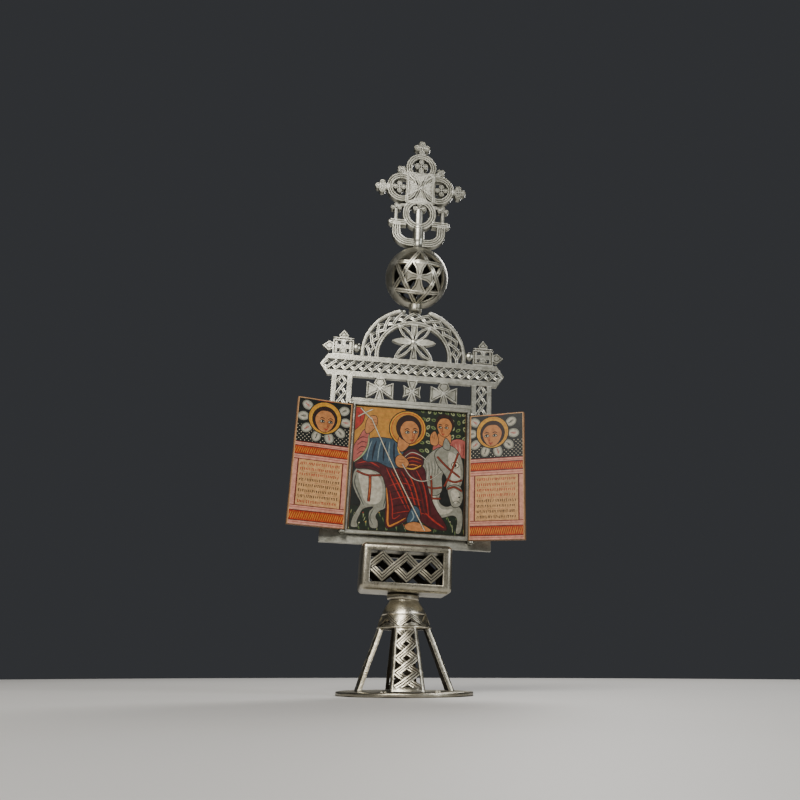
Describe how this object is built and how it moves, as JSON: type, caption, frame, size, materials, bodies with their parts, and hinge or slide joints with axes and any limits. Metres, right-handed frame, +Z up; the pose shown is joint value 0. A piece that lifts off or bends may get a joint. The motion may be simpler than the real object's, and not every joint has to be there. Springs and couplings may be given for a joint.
{
  "type": "reliquary altar",
  "caption": "Standing altar of pierced cast metal with a painted panel between two hinged wings, a pierced ball and a ringed cross on top.",
  "frame": {"origin": "centre of the underside of the base disc, on the surface that the altar stands on", "axes": "+Z up, -Y the front with the painted panel, +X to the viewer's right"},
  "size_m": [0.1525, 0.082, 0.4012],
  "materials": {
    "silver": "cast white metal, rubbed bright on the edges, dark in the recesses",
    "warm_silver": "cast white metal with a warm tarnish",
    "painted_wood": "wooden board with a painted face under thin varnish"
  },
  "bodies": {
    "stand": {"base_disc": "warm_silver", "pedestal": "warm_silver", "block": "warm_silver", "plaque": "silver", "icon_panel": "painted_wood", "ball": "silver", "top_cross": "silver"},
    "left_wing": {"left_wing": "painted_wood", "left_hinge_pin": "silver"},
    "right_wing": {"right_wing": "painted_wood", "right_hinge_pin": "silver"}
  },
  "joints": [
    {"name": "left_wing_hinge", "type": "hinge", "parent": "stand", "child": "left_wing", "pos_m": [-0.038, -0.00655, 0.1392], "axis": [0.0454, 0, 0.999], "range_deg": [-17.5, 166.5]},
    {"name": "right_wing_hinge", "type": "hinge", "parent": "stand", "child": "right_wing", "pos_m": [0.04401, -0.00655, 0.13327], "axis": [-0.0454, 0, -0.999], "range_deg": [-32.5, 151.5]}
  ]
}
